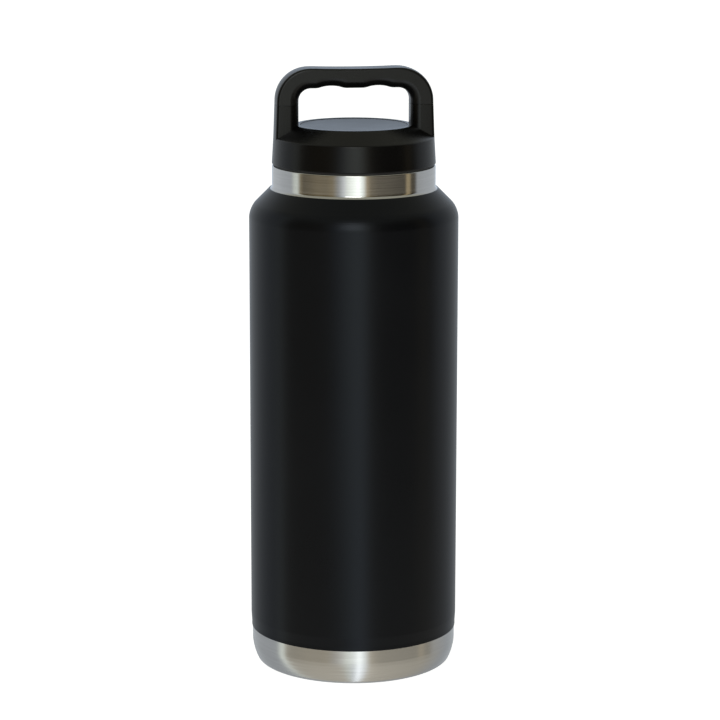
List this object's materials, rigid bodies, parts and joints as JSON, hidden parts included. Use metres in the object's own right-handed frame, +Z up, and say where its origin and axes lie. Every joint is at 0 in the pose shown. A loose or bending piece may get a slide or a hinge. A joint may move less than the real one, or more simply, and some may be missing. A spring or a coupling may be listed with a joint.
{
  "type": "growler",
  "caption": "Vacuum-insulated stainless steel growler with a powder-coated side, bare steel neck and base, and a screw cap with a loop handle over finger hollows.",
  "frame": {"origin": "centre of the circle that the base stands on", "axes": "+Z up along the bottle's axis, X along the handle's bar, -Y the front"},
  "size_m": [0.09, 0.09, 0.261],
  "materials": {
    "powder_coat_black": "matte",
    "shell_steel": "polished",
    "base_steel": "satin",
    "liner_steel": "satin",
    "foil": "polished",
    "getter_alloy": "matte",
    "port_glass": "gloss",
    "cap_plastic": "matte",
    "disc_plastic": "satin",
    "grip_rubber": "matte",
    "plug_plastic": "satin",
    "seal_silicone": "satin",
    "foam": "matte"
  },
  "bodies": {
    "bottle": {"outer_shell": "shell_steel", "body_coat": "powder_coat_black", "base_cup": "base_steel", "base_disc": "base_steel", "port_seal": "port_glass", "inner_liner": "liner_steel", "liner_neck": "liner_steel", "liner_bottom": "liner_steel", "radiation_foil": "foil", "getter": "getter_alloy", "getter_strap": "liner_steel"},
    "seal": {"seal_ring": "seal_silicone"},
    "cap": {"cap_shell": "cap_plastic", "handle_grip": "grip_rubber", "top_disc": "disc_plastic", "plug": "plug_plastic", "plug_base": "plug_plastic", "foam_core": "foam"}
  },
  "joints": [
    {"name": "cap_rise", "type": "slide", "parent": "bottle", "child": "seal", "axis": [0, 0, 1], "range_m": [0, 0.0221]},
    {"name": "cap_turn", "type": "hinge", "parent": "seal", "child": "cap", "pos_m": [0, 0, 0.21911], "axis": [0, 0, 1], "range_deg": [0, 990]}
  ],
  "couplings": [
    {"joint": "cap_rise", "follows": "cap_turn", "m_per_rad": 0.0012732}
  ]
}
